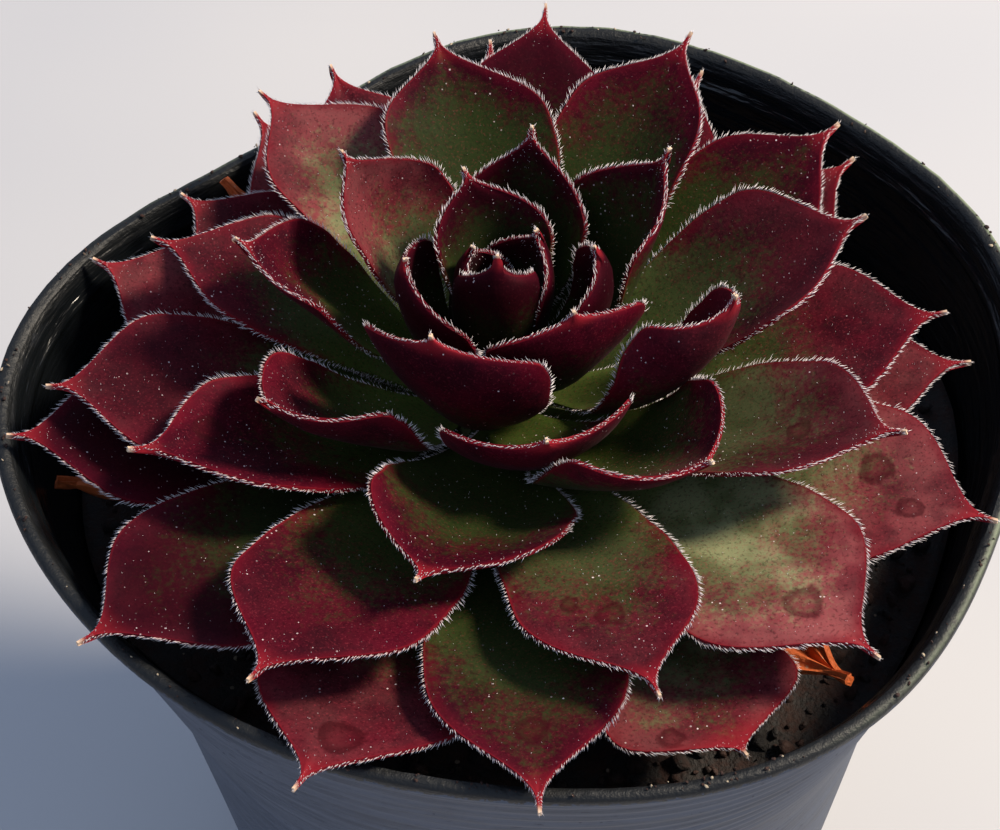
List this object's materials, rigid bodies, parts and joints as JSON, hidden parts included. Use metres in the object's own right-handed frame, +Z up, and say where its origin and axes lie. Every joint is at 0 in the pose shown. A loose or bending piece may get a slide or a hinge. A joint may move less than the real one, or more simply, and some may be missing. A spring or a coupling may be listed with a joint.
{
  "type": "potted houseleek",
  "caption": "Houseleek rosette of pointed fleshy red leaves with hairy edges, growing from soil in a soft round plastic nursery pot.",
  "frame": {"origin": "middle of the underside of the pot's floor, on the surface that the pot stands on", "axes": "+Z up; +Y towards the back of the plant, away from the side that it is looked at from; +X to its right"},
  "size_m": [0.0948, 0.0954, 0.096],
  "materials": {
    "leaf_flesh": "fine short down over dark red flesh, green at the foot",
    "dry_leaf": "dry, crumpled, red-brown",
    "stem_flesh": "dull pale green",
    "potting_soil": "coarse dark crumbs with a few pale grains",
    "pot_plastic": "weathered soft black plastic with a dusty rim"
  },
  "bodies": {
    "root": {"pot": "pot_plastic", "soil": "potting_soil", "stem": "stem_flesh", "leaf_01": "leaf_flesh", "leaf_02": "leaf_flesh", "leaf_03": "leaf_flesh", "leaf_04": "leaf_flesh", "leaf_05": "leaf_flesh", "leaf_06": "leaf_flesh", "leaf_07": "leaf_flesh", "leaf_08": "leaf_flesh", "leaf_09": "leaf_flesh", "leaf_10": "leaf_flesh", "leaf_11": "leaf_flesh", "leaf_12": "leaf_flesh", "leaf_13": "leaf_flesh", "leaf_14": "leaf_flesh", "leaf_15": "leaf_flesh", "leaf_16": "leaf_flesh", "leaf_17": "leaf_flesh", "leaf_18": "leaf_flesh", "leaf_19": "leaf_flesh", "leaf_20": "leaf_flesh", "leaf_21": "leaf_flesh", "leaf_22": "leaf_flesh", "leaf_23": "leaf_flesh", "leaf_24": "leaf_flesh", "leaf_25": "leaf_flesh", "leaf_26": "leaf_flesh", "leaf_27": "leaf_flesh", "leaf_28": "leaf_flesh", "leaf_29": "leaf_flesh", "leaf_30": "leaf_flesh", "leaf_31": "leaf_flesh", "leaf_32": "leaf_flesh", "leaf_33": "leaf_flesh", "leaf_34": "leaf_flesh", "leaf_35": "leaf_flesh", "leaf_36": "leaf_flesh", "leaf_37": "leaf_flesh", "leaf_38": "leaf_flesh", "leaf_39": "leaf_flesh", "rosette_heart": "leaf_flesh", "dry_leaf_1": "dry_leaf", "dry_leaf_2": "dry_leaf", "dry_leaf_3": "dry_leaf", "dry_leaf_4": "dry_leaf"}
  },
  "joints": []
}
